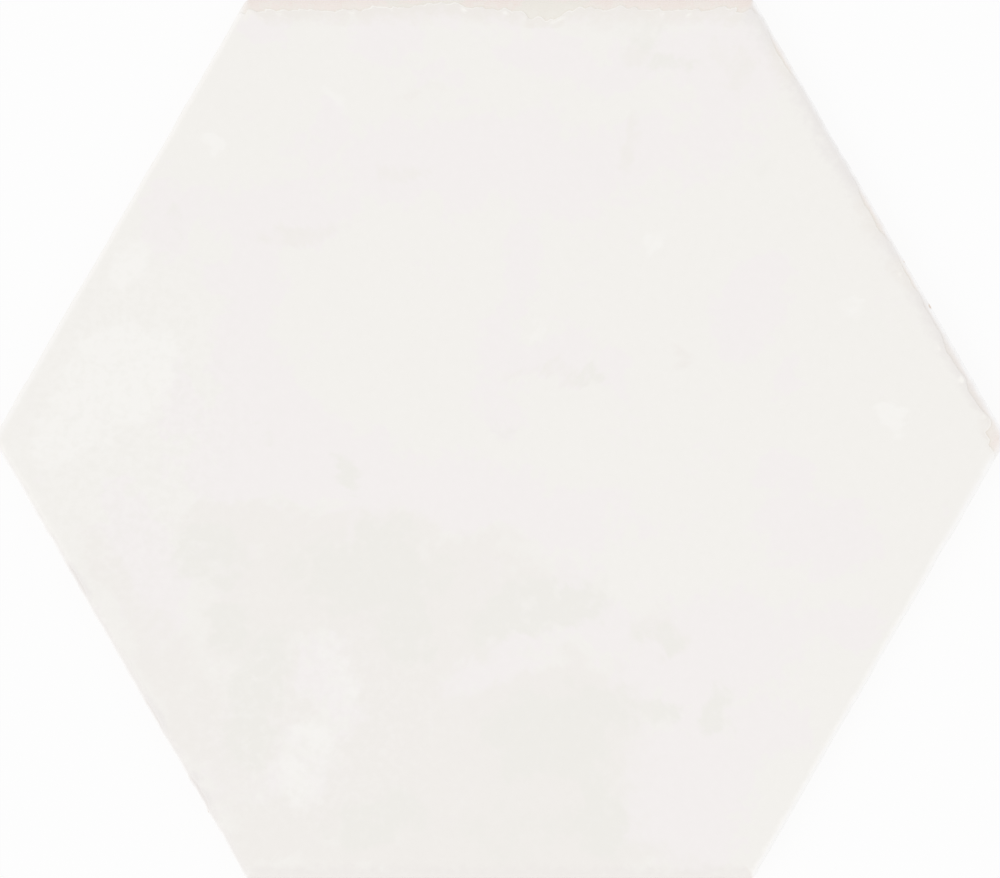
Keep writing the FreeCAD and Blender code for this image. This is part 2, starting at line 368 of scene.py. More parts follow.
def spoken(key):  # cornerRadius becomes Corner Radius
    return "".join(" " + letter if letter.isupper() else letter for letter in key).title()


def tileInputs():
    body = tileBody
    values = {
        "Half Across Flats": (tileHigh.y - tileLow.y) / 2,
        "Thickness": tileHigh.z - tileLow.z,
        "Band Top": (body["bandBottom"] + body["bandHeight"]) * mm,
        "Back Lean": math.tan(math.radians(body["backDraft"])),
        "Face Lean": math.tan(math.radians(body["faceDraft"])),
    }
    for key in ("cornerRadius", "bandBottom", "backChamfer", "arrisDrop", "glazeThickness",
                "beadHeight", "apronWidth", "hemWidth", "bareCorner"):
        values[spoken(key)] = body[key] * mm
    for key in ("sideBlend", "glazeBlend", "straightShare", "tipRub", "tipThin", "seed"):
        values[spoken(key)] = body[key]
    families = {"Arris": ("arrisWidths", mm), "Bare": ("bareWidths", mm),
                "Thin": ("thinWidths", mm), "Rub": ("rubWidths", mm), "Wear": ("wearDepths", mm),
                "Rim": ("rimShares", 1), "Rubbed": ("rubShares", 1)}
    for family, (key, unit) in families.items():
        for name, value in zip(sideNames, body[key]):
            values[f"{family} {name}"] = value * unit
    return values


# The honeycomb that keys the tile into its bed, in millimetres.
backCells = {
    "pitch": 22.0,
    "ribWidth": 3.0,
    "margin": 6.0,
    "mouthRadius": 1.3,
    "mouthPoints": 3,
    "profile": [(0.1, 0.1), (0.82, 0.32), (1.0, 0.62)],  # depth, and how far in from the mouth
}


def cellInputs():
    cells = backCells
    half = (tileHigh.y - tileLow.y) / 2 / mm
    room = half - cells["margin"] - cells["pitch"] / math.sqrt(3)
    return {
        "Cell Pitch": cells["pitch"] * mm,
        "Cell Reach": (cells["pitch"] - cells["ribWidth"]) / 2 * mm,
        "Mouth Radius": cells["mouthRadius"] * mm,
        "Cell Rings": math.floor(room / (cells["pitch"] * math.sqrt(3) / 2)),
    }


# The waves that firing leaves: how many in a metre, their full height in millimetres, and
# their detail, roughness and seed.
surfaceWaves = {
    "swell": (16.0, 0.42, 2.0, 0.45, 0),
    "ripple": (95.0, 0.05, 2.0, 0.5, 7),
    "rough": (300.0, 0.16, 3.0, 0.6, 5),
    "faceHeights": (5.6, 7.3),  # where the face's waves come in and the sides' go out
    "sideHeights": (0.2, 1.2),  # where the sides' come in
}


class TileTree:
    # Builds the tree that grows the tile, one band of surface after another.
    def __init__(self):
        inputs = {"Geometry": "NodeSocketGeometry", **tileInputs(), **cellInputs()}
        inputs.update({name: "NodeSocketMaterial" for name in surfaceNames})
        self.tree, self.given, self.leave = newTree(
            "pressedTile", "GeometryNodeTree", inputs, {"Geometry": "NodeSocketGeometry"})
        self.outline = outlineGroup()
        self.widths = sideWidthGroup()
        self.arris = arrisGroup()
        self.patch = softPatchGroup()
        self.columns = 2 ** (tileBody["faceLevel"] + 1)

    def node(self, kind, inputs=None, **settings):
        return addNode(self.tree, kind, inputs, **settings)

    def position(self):
        return result(self.node("GeometryNodeInputPosition"))

    def ring(self, around, distance, radius, share=None):
        return result(useGroup(self.tree, self.outline, {
            "Around": around, "Distance": distance, "Corner Radius": radius,
            "Straight Share": self.given["Straight Share"] if share is None else share}))

    def sideWidth(self, around, family):
        blend = "Side Blend" if family == "Arris" else "Glaze Blend"
        inputs = {name: self.given[f"{family} {name}"] for name in sideNames}
        inputs.update({"Around": around, "Blend": self.given[blend]})
        return result(useGroup(self.tree, self.widths, inputs))

    def leanIn(self, height):
        # How far the drafted sides have come in at a height.
        given = self.given
        above = (height - given["Band Top"]).atLeast(0) * given["Face Lean"]
        return above + (given["Band Bottom"] - height).atLeast(0) * given["Back Lean"]

    def worn(self, around):
        # How far the outline has worn in at a place: mostly not at all.
        given = self.given
        place = self.ring(around, given["Half Across Flats"], given["Corner Radius"])
        nicks = noise(place, tileBody["nicksPerMetre"], 3.0, 0.6, given["Seed"] + 21)
        return self.sideWidth(around, "Wear") * nicks.ramp(0.42, 0.72)

    def edgeFacts(self, around):
        # What the arris and the glaze line are like at one place round the tile.
        given, body = self.given, tileBody
        clayTop = given["Thickness"] - given["Glaze Thickness"]
        shoulder = clayTop - given["Arris Drop"]
        lean = self.leanIn(shoulder)
        out = given["Half Across Flats"] - lean - self.worn(around)
        rim = self.ring(around, out, given["Corner Radius"] - lean)
        inner = given["Half Across Flats"] - lean - given["Apron Width"]
        start = self.ring(around, inner, 0.0, 1.0)
        wander = noise(rim, body["wandersPerMetre"], 3.0, 0.6, given["Seed"]) - 0.5
        fray = noise(rim, body["fraysPerMetre"], 2.0, 0.5, given["Seed"] + 3) - 0.5
        stray = wander * body["bareWander"] + fray * body["bareFray"] + 1
        corner = around.math("WRAP", 3.0, -3.0).math("ABSOLUTE").ramp(*body["cornerReach"])
        bare = self.sideWidth(around, "Bare") * stray + corner * given["Bare Corner"]
        rimInMillimetres = vectorMath("SCALE", rim, factor=1 / mm)
        warmth = None
        for x, y, reach, extra, warm in body["glazeDips"]:
            dip = result(useGroup(self.tree, self.patch, {
                "Place": rimInMillimetres, "Centre": (x, y, 0.0), "Half Length": reach,
                "Half Width": reach * 2}))
            bare = bare + dip * (extra * mm)
            warmth = dip * warm if warmth is None else warmth + dip * warm
        arris = self.sideWidth(around, "Arris") * (wander * body["arrisWander"] + 1)
        arris = (arris + body["arrisSpare"] * mm).atLeast(bare + body["leastLip"] * mm)
        nearTip = around.math("WRAP", 1.5, -1.5).math("ABSOLUTE").ramp(*body["tipReach"])
        thin = self.sideWidth(around, "Thin") * (nearTip * given["Tip Thin"]).flipped()
        rub = self.sideWidth(around, "Rub") * (nearTip * given["Tip Rub"] + 1)
        cold = warmth.atMost(body["mostWarmth"]).flipped()
        return {"clayTop": clayTop, "shoulder": shoulder, "rim": rim, "start": start,
                "bare": bare.atLeast(body["leastBare"] * mm), "arris": arris,
                "thin": thin, "rub": rub, "rubbed": self.sideWidth(around, "Rubbed"),
                "rimShare": self.sideWidth(around, "Rim") * cold}

    def strip(self, rows):
        # A band of surface round the tile, before it is bent into place.
        grid = self.node("GeometryNodeMeshGrid", {
            "Size X": 1.0, "Size Y": 1.0, "Vertices X": self.columns * 6 + 1, "Vertices Y": rows})
        x, y = separate(self.position())[:2]
        return result(grid, "Mesh"), (x + 0.5) * 6, y + 0.5

    def placed(self, mesh, position):
        return result(self.node("GeometryNodeSetPosition", {
            "Geometry": mesh, "Position": position}))

    def tagged(self, mesh, name, value, domain="POINT"):
        return result(self.node("GeometryNodeStoreNamedAttribute", {
            "Geometry": mesh, "Name": name, "Value": value}, data_type="FLOAT", domain=domain))

    def surfaced(self, mesh, name):  # says which material its faces get
        return self.tagged(mesh, "surface", float(surfaceNames.index(name)), "FACE")

    def edgeStrip(self, rows, inwardOf, liftOf, surface):
        # A band on the arris: inwardOf and liftOf say where its points lie from the edge.
        mesh, around, across = self.strip(rows)
        facts = self.edgeFacts(around)
        inward = inwardOf(facts, across)
        height = result(useGroup(self.tree, self.arris, {
            "Inward": inward, "Arris Width": facts["arris"],
            "Face Height": facts["clayTop"], "Arris Drop": self.given["Arris Drop"]}))
        flat = result(self.node("ShaderNodeMix", {
            "Factor": inward / self.given["Apron Width"], "A": facts["rim"],
            "B": facts["start"]}, data_type="VECTOR"))
        x, y = separate(flat)[:2]
        depth = (inward - facts["bare"]) / mm
        # Beads stand a millimetre or two inside the glaze line, where much clay lies bare.
        bead = noise(flat, tileBody["beadsPerMetre"], 1.0, 0.4, self.given["Seed"] + 9)
        bead = bead.ramp(0.59, 0.7) * depth.ramp(0.3, 0.8) * depth.ramp(2.4, 1.2)
        bead = bead * facts["bare"].ramp(0.9 * mm, 1.8 * mm)
        lift = bead * self.given["Bead Height"] + liftOf(across)
        tagged = self.tagged(mesh, "glazeDepth", depth)
        tagged = self.tagged(tagged, "beadOfGlaze", bead)
        tagged = self.tagged(tagged, "thinWidth", facts["thin"] / mm)
        tagged = self.tagged(tagged, "rimShare", facts["rimShare"])
        # Painted light: how strongly the outermost edge is painted pale against its shade.
        rub = (inward / facts["rub"]).ramp(1.0, 0.0) * facts["rubbed"]
        tagged = self.tagged(tagged, "edgePaintedLight", rub)
        return self.placed(
            self.surfaced(tagged, surface), combine(self.tree, x, y, height + lift))

    def sideStrip(self, rows, heightOf, extraLeanOf):
        mesh, around, across = self.strip(rows)
        facts = self.edgeFacts(around)
        height = heightOf(facts, across)
        lean = self.leanIn(height) + extraLeanOf(height)
        given = self.given
        wear = self.worn(around) * height.ramp(given["Back Chamfer"], given["Band Bottom"])
        ring = self.ring(
            around, given["Half Across Flats"] - lean - wear, given["Corner Radius"] - lean)
        x, y = separate(ring)[:2]
        down = (facts["shoulder"] - height) / mm
        tagged = self.tagged(mesh, "glazeDepth", facts["bare"] / mm * -1 - down)
        tagged = self.tagged(tagged, "rimShare", facts["rimShare"])
        # Painted light: the top of the side is painted pale against its shade.
        tagged = self.tagged(tagged, "edgePaintedLight", down.ramp(1.0, 0.1) * facts["rubbed"])
        return self.placed(self.surfaced(tagged, "Clay"), combine(self.tree, x, y, height))

    def hoop(self, columns, distance, radius, share=None):
        # A closed curve of points round the tile.
        around = result(self.node("GeometryNodeInputIndex")) / columns
        circle = self.node("GeometryNodeMeshCircle", {"Vertices": columns * 6})
        bent = self.placed(result(circle), self.ring(around, distance, radius, share))
        return result(self.node("GeometryNodeMeshToCurve", {"Mesh": bent}))

    def face(self):
        # The flat of the face, and the hem that joins it to the finer edge.
        given = self.given
        lean = self.leanIn(
            given["Thickness"] - given["Glaze Thickness"] - given["Arris Drop"])
        outer = given["Half Across Flats"] - lean - given["Apron Width"]
        inner = outer - given["Hem Width"]
        disc = self.node("GeometryNodeMeshCircle", {
            "Vertices": 6, "Radius": inner / math.cos(halfSideTurn)}, fill_type="NGON")
        fine = self.node("GeometryNodeSubdivideMesh", {
            "Mesh": result(disc), "Level": tileBody["faceLevel"]})
        hem = self.node("GeometryNodeFillCurve", {"Curve": self.joined(
            self.hoop(self.columns, outer, 0.0, 1.0),
            self.hoop(self.columns // 2, inner, 0.0, 1.0))}, mode="TRIANGLES")
        x, y = separate(self.position())[:2]
        raised = self.placed(self.joined(result(fine), result(hem)),
                             combine(self.tree, x, y, given["Thickness"]))
        return self.surfaced(self.tagged(raised, "glazeDepth", tileBody["apronWidth"]), "Glaze")

    def mouth(self):
        corners = self.node("GeometryNodeMeshCircle", {
            "Vertices": 6, "Radius": self.given["Cell Reach"] / math.cos(halfSideTurn)})
        turned = self.node("GeometryNodeTransform", {
            "Geometry": result(corners), "Rotation": (0.0, 0.0, halfSideTurn)})
        curve = self.node("GeometryNodeMeshToCurve", {"Mesh": result(turned)})
        return result(self.node("GeometryNodeFilletCurve", {
            "Curve": result(curve), "Radius": self.given["Mouth Radius"],
            "Count": backCells["mouthPoints"]}, mode="POLY"))

    def cup(self, mouth):
        # One pressed cell: its mouth is filled, then pushed in step by step and narrowed.
        mesh = result(self.node("GeometryNodeFillCurve", {"Curve": mouth}, mode="NGONS"))
        depth, inset, floor = 0.0, 0.0, True
        for nextDepth, nextInset in backCells["profile"]:
            pushed = self.node("GeometryNodeExtrudeMesh", {
                "Mesh": mesh, "Selection": floor, "Individual": False, "Offset Scale": 1.0,
                "Offset": combine(self.tree, 0.0, 0.0, (nextDepth - depth) * mm)}, mode="FACES")
            floor = result(pushed, "Top")
            reach = self.given["Cell Reach"]
            scale = (reach - nextInset * mm) / (reach - inset * mm)
            x, y, z = separate(self.position())
            mesh = result(self.node("GeometryNodeSetPosition", {
                "Geometry": result(pushed, "Mesh"), "Selection": floor,
                "Position": combine(self.tree, x * scale, y * scale, z)}))
            depth, inset = nextDepth, nextInset
        return mesh

    def lattice(self):
        # A sheared grid of points, cut to a hexagon, is where the cells go.
        given = self.given
        rings, pitch = given["Cell Rings"], given["Cell Pitch"]
        count = rings * 2 + 1
        size = rings * 2 * pitch
        grid = self.node("GeometryNodeMeshGrid", {
            "Size X": size, "Size Y": size, "Vertices X": count, "Vertices Y": count})
        x, y = separate(self.position())[:2]
        outside = (x + y).math("ABSOLUTE").math("GREATER_THAN", (rings + 0.5) * pitch)
        cut = self.node("GeometryNodeDeleteGeometry", {
            "Geometry": result(grid, "Mesh"), "Selection": outside})
        return self.placed(
            result(cut), combine(self.tree, x + y * 0.5, y * math.cos(halfSideTurn), 0.0))

    def onLattice(self, points, instance):
        spread = self.node("GeometryNodeInstanceOnPoints", {
            "Points": points, "Instance": instance})
        return result(self.node("GeometryNodeRealizeInstances", {"Geometry": result(spread)}))

    def joined(self, *meshes):
        node = self.node("GeometryNodeJoinGeometry")
        for mesh in reversed(meshes):
            self.tree.links.new(mesh.socket, node.inputs[0])
        return result(node)

    def back(self):
        # The plate of the back with a hole for each cell, and the cells themselves.
        given = self.given
        lean = given["Band Bottom"] * given["Back Lean"] + given["Back Chamfer"]
        rim = self.hoop(self.columns, given["Half Across Flats"] - lean,
                        given["Corner Radius"] - lean)
        points = self.lattice()
        mouth = self.mouth()
        holes = self.onLattice(points, mouth)
        plate = result(self.node("GeometryNodeFillCurve", {
            "Curve": self.joined(rim, holes)}, mode="TRIANGLES"))
        both = self.joined(plate, self.onLattice(points, self.cup(mouth)))
        return self.surfaced(self.tagged(both, "glazeDepth", -20.0), "Back")

    def bands(self):
        # The five bands of surface from the hem outwards and down to the back.
        rows, glaze = tileBody["bandRows"], self.given["Glaze Thickness"]
        apron, chamfer = self.given["Apron Width"], self.given["Back Chamfer"]

        def apronInward(facts, across):
            crowded = across.flipped() ** tileBody["apronCrowding"]
            return mixFloat(crowded, facts["bare"] + glaze, apron)

        def lipInward(facts, across):  # the lip is a quarter round
            return facts["bare"] + glaze * (across * (math.pi / 2)).math("SINE").flipped()

        def lipLift(across):
            return glaze * (across * (math.pi / 2)).math("COSINE")

        def clayInward(facts, across):
            return facts["bare"] * across.flipped() ** tileBody["clayCrowding"]

        return [
            self.edgeStrip(rows["apron"], apronInward, lambda across: glaze, "Glaze"),
            self.edgeStrip(rows["lip"], lipInward, lipLift, "Glaze"),
            self.edgeStrip(rows["clay"], clayInward, lambda across: 0.0, "Clay"),
            self.sideStrip(
                rows["side"], lambda facts, across: mixFloat(across, facts["shoulder"], chamfer),
                lambda height: 0.0),
            self.sideStrip(
                rows["chamfer"], lambda facts, across: chamfer * across.flipped(),
                lambda height: chamfer - height)]

    def clouded(self, mesh):
        # How much of each kind of cloud lies at a point, its edges drawn out by a slow drift.
        place = vectorMath("SCALE", self.position(), factor=1 / mm)
        drift = result(self.node("ShaderNodeTexNoise", {
            "Vector": place, "Scale": 1 / cloudDrift["size"], "Detail": 6.0,
            "Roughness": 0.66}), "Color")
        drift = vectorMath("SUBTRACT", drift, (0.5, 0.5, 0.5))
        drifted = vectorMath(
            "ADD", place, vectorMath("SCALE", drift, factor=cloudDrift["reach"] * 2))
        for name, clouds in glazeClouds.items():
            cover = None
            for x, y, halfLength, halfWidth, strength, *turn in clouds:
                patch = result(useGroup(self.tree, self.patch, {
                    "Place": drifted, "Centre": (x, y, 0.0), "Half Length": halfLength,
                    "Half Width": halfWidth, "Turn": math.radians(sum(turn))})) * strength
                cover = patch if cover is None else cover + patch
            mesh = self.tagged(mesh, f"{name}Cloud", cover.atLeast(0))
        return mesh

    def weathered(self, mesh):
        # Fired clay is never quite flat: the face swells a little, the sides are rough.
        place = self.position()
        height = separate(place)[2]
        normal = result(self.node("GeometryNodeInputNormal"))

        def waves(name):
            perMetre, full, detail, roughness, seed = surfaceWaves[name]
            waved = noise(place, perMetre, detail, roughness, self.given["Seed"] + seed)
            return (waved - 0.5) * (full * mm)

        faceStart, faceFull = [level * mm for level in surfaceWaves["faceHeights"]]
        sideStart, sideFull = [level * mm for level in surfaceWaves["sideHeights"]]
        onFace = height.ramp(faceStart, faceFull)
        onSide = height.ramp(sideStart, sideFull) * onFace.flipped()
        lift = combine(self.tree, 0.0, 0.0, (waves("swell") + waves("ripple")) * onFace)
        push = vectorMath("SCALE", normal, factor=waves("rough") * onSide)
        return result(self.node("GeometryNodeSetPosition", {
            "Geometry": mesh, "Offset": vectorMath("ADD", lift, push)}))

    def shaded(self, mesh):
        smooth = self.node("GeometryNodeSetShadeSmooth", {
            "Geometry": mesh, "Shade Smooth": True}, domain="FACE")
        angle = result(self.node("GeometryNodeInputMeshEdgeAngle"), "Unsigned Angle")
        sharp = angle.math("GREATER_THAN", math.radians(28))
        return result(self.node("GeometryNodeSetShadeSmooth", {
            "Geometry": result(smooth), "Selection": sharp, "Shade Smooth": False},
            domain="EDGE"))

    def finished(self, mesh):
        realized = result(self.node("GeometryNodeRealizeInstances", {"Geometry": mesh}))
        surface = result(self.node("GeometryNodeInputNamedAttribute", {"Name": "surface"}))
        for number, name in enumerate(surfaceNames):
            chosen = (surface - number).math("ABSOLUTE").math("LESS_THAN", 0.5)
            realized = result(self.node("GeometryNodeSetMaterial", {
                "Geometry": realized, "Selection": chosen, "Material": self.given[name]}))
        feed(self.leave, Geometry=realized)

    def build(self):
        turned = self.node("GeometryNodeFlipFaces", {
            "Mesh": self.joined(*self.bands(), self.back())})
        whole = self.joined(self.face(), result(turned))
        welded = result(self.node("GeometryNodeMergeByDistance", {
            "Geometry": whole, "Distance": 0.002 * mm}))
        self.finished(self.shaded(self.weathered(self.clouded(welded))))
        return self.tree


# Colours are given as the eye sees them in the studio, from 0 to 255. The gloss that the
# light lays over a surface, and how bright it makes a white one, are taken off first.
studioLook = {
    "whiteLevel": 1.0,
    "gloss": 0.04,
}


def toLinear(level):
    share = level / 255
    return share / 12.92 if share <= 0.04045 else ((share + 0.055) / 1.055) ** 2.4


def seen(red, green, blue):
    gloss, white = studioLook["gloss"], studioLook["whiteLevel"]
    base = [(toLinear(level) / white - gloss) / (1 - gloss) for level in (red, green, blue)]
    return (*base, 1.0)


def blend(factor, first, second):
    return result(addNode(factor.tree, "ShaderNodeMix", {
        "Factor": factor, "A": first, "B": second}, data_type="RGBA"))


def newMaterial(name):
    material = bpy.data.materials.new(name)
    material.use_nodes = True
    return material, material.node_tree, material.node_tree.nodes["Principled BSDF"]


def inMillimetres(tree):
    coordinates = addNode(tree, "ShaderNodeTexCoord")
    return vectorMath("SCALE", result(coordinates, "Object"), factor=1 / mm)


def attribute(tree, name):
    return result(addNode(tree, "ShaderNodeAttribute", attribute_name=name), "Fac")


def bumped(height, depth):  # heights from 0 to 1, and how many millimetres 1 stands for
    return result(addNode(height.tree, "ShaderNodeBump", {
        "Height": height, "Distance": depth * mm, "Strength": 1.0}))


def mottlingGroup():
    # Blotches of one size, from a soft blur to hard-edged as Sharpness goes from 0 to 1.
    tree, given, leave = newTree("mottling", "ShaderNodeTree", {
        "Place": anywhere, "Patch Size": 10.0, "Sharpness": 0.5}, {"Value": float})
    cloud = noise(given["Place"], given["Patch Size"] ** -1.0, 3.0, 0.6)
    half = given["Sharpness"].flipped() * 0.25 + 0.02
    feed(leave, Value=remap(cloud, half * -1 + 0.5, half + 0.5, 0.0, 1.0))
    return tree


def clayGrainGroup():
    # Fired clay close to: a sandy tone, small pits, and here and there a rusty fleck.
    tree, given, leave = newTree("clayGrain", "ShaderNodeTree", {
        "Place": anywhere, "Grain Size": 0.5, "Fleck Share": 0.3,
    }, {"Tone": float, "Flecks": float, "Height": float})
    fine = noise(given["Place"], given["Grain Size"] ** -1.0, 2.0, 0.65)
    broad = noise(given["Place"], (given["Grain Size"] * 14) ** -1.0, 1.0)
    pits = result(addNode(tree, "ShaderNodeTexVoronoi", {
        "Vector": given["Place"], "Scale": (given["Grain Size"] * 3) ** -1.0}), "Distance")
    iron = noise(given["Place"], (given["Grain Size"] * 5) ** -1.0, 1.0, 0.4)
    feed(leave, Tone=fine * 0.55 + broad * 0.45,
         Flecks=remap(iron, given["Fleck Share"] * -0.15 + 0.78, 0.82, 0.0, 1.0),
         Height=fine * 0.7 + pits.ramp(0.05, 0.3) * 0.3)
    return tree


def dustGroup():
    # A pale powder that lies in patches and thins out to nothing.
    tree, given, leave = newTree("dust", "ShaderNodeTree", {
        "Place": anywhere, "Patch Size": 12.0, "Cover": 0.5}, {"Mask": float})
    broad = noise(given["Place"], given["Patch Size"] ** -1.0, 3.0, 0.55)
    fine = noise(given["Place"], (given["Patch Size"] * 0.06) ** -1.0, 2.0, 0.6)
    amount = broad * 0.7 + fine * 0.3 + (given["Cover"] - 0.5) * 0.5
    feed(leave, Mask=amount.ramp(0.38, 0.66))
    return tree


def edgeLightGroup():
    # Painted light: the outermost edge is painted pale against the shade of the steep arris, in
    # some places more than in others.
    tree, given, leave = newTree("rubbing", "ShaderNodeTree", {
        "Place": anywhere, "Edge": 0.0, "Unevenness": 1.0}, {"Mask": float})
    uneven = (noise(given["Place"], 1 / 3.0, 2.0, 0.6) - 0.5) * given["Unevenness"]
    feed(leave, Mask=(given["Edge"] * (uneven + 1)).atMost(1))
    return tree


mottling = mottlingGroup()
clayGrain = clayGrainGroup()
dust = dustGroup()
rubbing = edgeLightGroup()
# Painted light: the pale colour laid over the outermost edge.
paintedEdgeLightColour = (254, 253.5, 253.5)


# The glaze.
glazeLook = {
    "straw": (243, 240.8, 236.9),
    "rose": (243, 239, 238),
    "haze": (240.4, 237, 233.2),
    "veil": (238.4, 236.4, 231.6),
    "milk": (246, 244.2, 240.8),
    "thin": (239.1, 235.1, 230.4),
    "smoked": (236.5, 233, 231),
    # bead white; it is also the painted light on the glaze lip and on the milky rims
    "bead": (250, 248, 243.5),
    "patchSize": 17.0,
    "spongeSize": 6.5,
    "dappleSize": 3.2,
    "fleckSize": 2.1,
    "peelSize": 2.6,
    "peelDepth": 0.035,
    "rubUnevenness": 0.8,
    "roughness": 0.36,
    "ior": 1.5,
    "coat": 0.25,
    "coatRoughness": 0.2,
}


def blotches(place, size, sharpness):
    return result(useGroup(place.tree, mottling, {
        "Place": place, "Patch Size": size, "Sharpness": sharpness}))


def paintedLightAtEdge(place, colour, unevenness):
    mask = result(useGroup(place.tree, rubbing, {
        "Place": place, "Edge": attribute(place.tree, "edgePaintedLight"), "Unevenness": unevenness}))
    return blend(mask, colour, seen(*paintedEdgeLightColour))


def satinGlaze():
    material, tree, shader = newMaterial("satinGlaze")
    look = glazeLook
    place = inMillimetres(tree)
    cloud = {name: attribute(tree, f"{name}Cloud") for name in glazeClouds}
    dapple = blotches(place, look["dappleSize"], 0.3)
    sponge = blotches(place, look["spongeSize"], 0.25) * 0.65 + dapple * 0.35
    fleck = blotches(place, look["fleckSize"], 0.0)
    random = blotches(place, look["patchSize"], 0.2)

    rosy = (random * 0.4 + cloud["rose"] * 0.75 + (dapple - 0.5) * 0.3).ramp(0.35, 0.65)
    colour = blend(rosy, seen(*look["straw"]), seen(*look["rose"]))
    for name, spread in (("haze", 0.9), ("veil", 1.3), ("milk", 1.1)):
        cover = (cloud[name] * (sponge * spread + (1 - spread / 2))).ramp(0.1, 0.75)
        colour = blend(cover * 0.9, colour, seen(*look[name]))
    contrast = cloud["lively"] * 0.5 + 0.2
    colour = blend(contrast * (fleck - 0.45).atLeast(0), colour, seen(*look["milk"]))
    colour = blend(contrast * (fleck.flipped() - 0.45).atLeast(0), colour, seen(*look["veil"]))

    # Near the glaze line the glaze thins and the clay warms it; beads stand thick and white.
    depth = attribute(tree, "glazeDepth")
    thinWidth = attribute(tree, "thinWidth").atLeast(0.05)
    peel = noise(place, 1 / look["peelSize"], 2.0, 0.6)
    thinned = (depth / thinWidth + (peel - 0.5) * 1.3).ramp(1.0, 0.05)
    share = attribute(tree, "rimShare")
    thin = blend(share, seen(*look["thin"]), seen(*look["smoked"]))
    # Painted light: where the share is below zero, the thin glaze is painted milky white against
    # the arris's shade.
    thin = blend(share * -1, thin, seen(*look["bead"]))
    colour = blend(thinned * 0.9, colour, thin)
    # Painted light: the glaze lip is painted paler, lifting the shade that falls on it.
    lip = depth.ramp(0.5, 0.2) * (share * 3).math("ABSOLUTE").atMost(1).flipped()
    lip = lip * (blotches(place, 7.0, 0.4) * 0.75 + 0.1)
    colour = blend(lip, colour, seen(*look["bead"]))
    colour = blend(attribute(tree, "beadOfGlaze"), colour, seen(*look["bead"]))
    # Painted light: the outermost edge of the glaze is painted pale against the arris's shade.
    colour = paintedLightAtEdge(place, colour, look["rubUnevenness"])
    feed(shader, Base_Color=colour, Normal=bumped(peel, look["peelDepth"]),
         Roughness=sponge * 0.08 + thinned * 0.25 + look["roughness"], IOR=look["ior"],
         Coat_Weight=look["coat"], Coat_Roughness=look["coatRoughness"])
    return material


# The clay: bare along the arris and down the sides.
clayLook = {
    "pale": (242, 234, 229),
    "pink": (239.5, 229.5, 223.5),
    "rust": (216, 192, 170),
    "ochre": (233, 226, 211),
    "smoked": (234.5, 230.5, 228),
    "wash": (237, 234.5, 227),
    "oversprayAndLight": (240, 237, 231),
    "grainSize": 0.45,
    "grainDepth": 0.07,
    "fleckShare": 0.35,
    "wobbleSize": 1.6,
    "oversprayReach": 1.6,
    "runWidth": 3.5,
    "runLength": 6.0,
    "rubUnevenness": 1.2,
    "roughness": 0.82,
}


def firedClay():
    material, tree, shader = newMaterial("firedClay")
    look = clayLook
    place = inMillimetres(tree)
    grain = useGroup(tree, clayGrain, {
        "Place": place, "Grain Size": look["grainSize"], "Fleck Share": look["fleckShare"]})
    tone = result(grain, "Tone").ramp(0.36, 0.64)
    colour = blend(tone, seen(*look["pink"]), seen(*look["pale"]))
    wash = attribute(tree, "washCloud") + blotches(place, 8.0, 0.3) * 0.3
    colour = blend(wash.ramp(0.25, 0.9) * 0.8, colour, seen(*look["wash"]))
    depth = attribute(tree, "glazeDepth")
    wobble = noise(place, 1 / look["wobbleSize"], 2.0, 0.6) - 0.5
    sprayed = (depth + wobble * 3).ramp(-look["oversprayReach"], 0.3)
    colour = blend(sprayed * 0.35, colour, seen(*look["oversprayAndLight"]))
    drawnDown = vectorMath("MULTIPLY", place, (1.0, 1.0, 0.1))
    runs = noise(drawnDown, 1 / look["runWidth"], 2.0, 0.6)
    reach = runs.ramp(0.5, 0.72) * look["runLength"] + 0.3
    colour = blend((depth / reach).ramp(-1.0, -0.3) * 0.4, colour, seen(*look["oversprayAndLight"]))
    # Here and there a thin ochre line runs along the glaze.
    scum = (depth + wobble * 0.8).ramp(-0.5, 0.0) * blotches(place, 11.0, 0.4)
    colour = blend(scum * 0.35, colour, seen(*look["ochre"]))
    share = attribute(tree, "rimShare") * (depth + wobble * 2).ramp(-5.0, -0.5)
    colour = blend(share * 0.8, colour, seen(*look["smoked"]))
    # Painted light: where the share is below zero, the clay is painted paler against the arris's
    # shade.
    colour = blend(share * -0.8, colour, seen(*look["oversprayAndLight"]))
    # Painted light: the outermost edge of the clay is painted pale against the arris's shade.
    colour = paintedLightAtEdge(place, colour, look["rubUnevenness"])
    colour = blend(result(grain, "Flecks") * 0.6, colour, seen(*look["rust"]))
    feed(shader, Base_Color=colour, Roughness=tone * 0.1 + look["roughness"],
         Normal=bumped(result(grain, "Height"), look["grainDepth"]))
    return material


# The back: the same clay, with kiln wash from the roller's batts rubbed onto the ribs.
backLook = {
    "clay": (226, 212, 199),
    "deep": (210, 193, 178),
    "wash": (243, 241, 236),
    "rust": (190, 158, 130),
    "grainSize": 0.6,
    "grainDepth": 0.09,
    "fleckShare": 0.5,
    "patchSize": 38.0,
    "powderSize": 26.0,
    "powderCover": 0.55,
    "ribTop": 0.12,
    "cellFloor": 0.8,
    "roughness": 0.88,
}


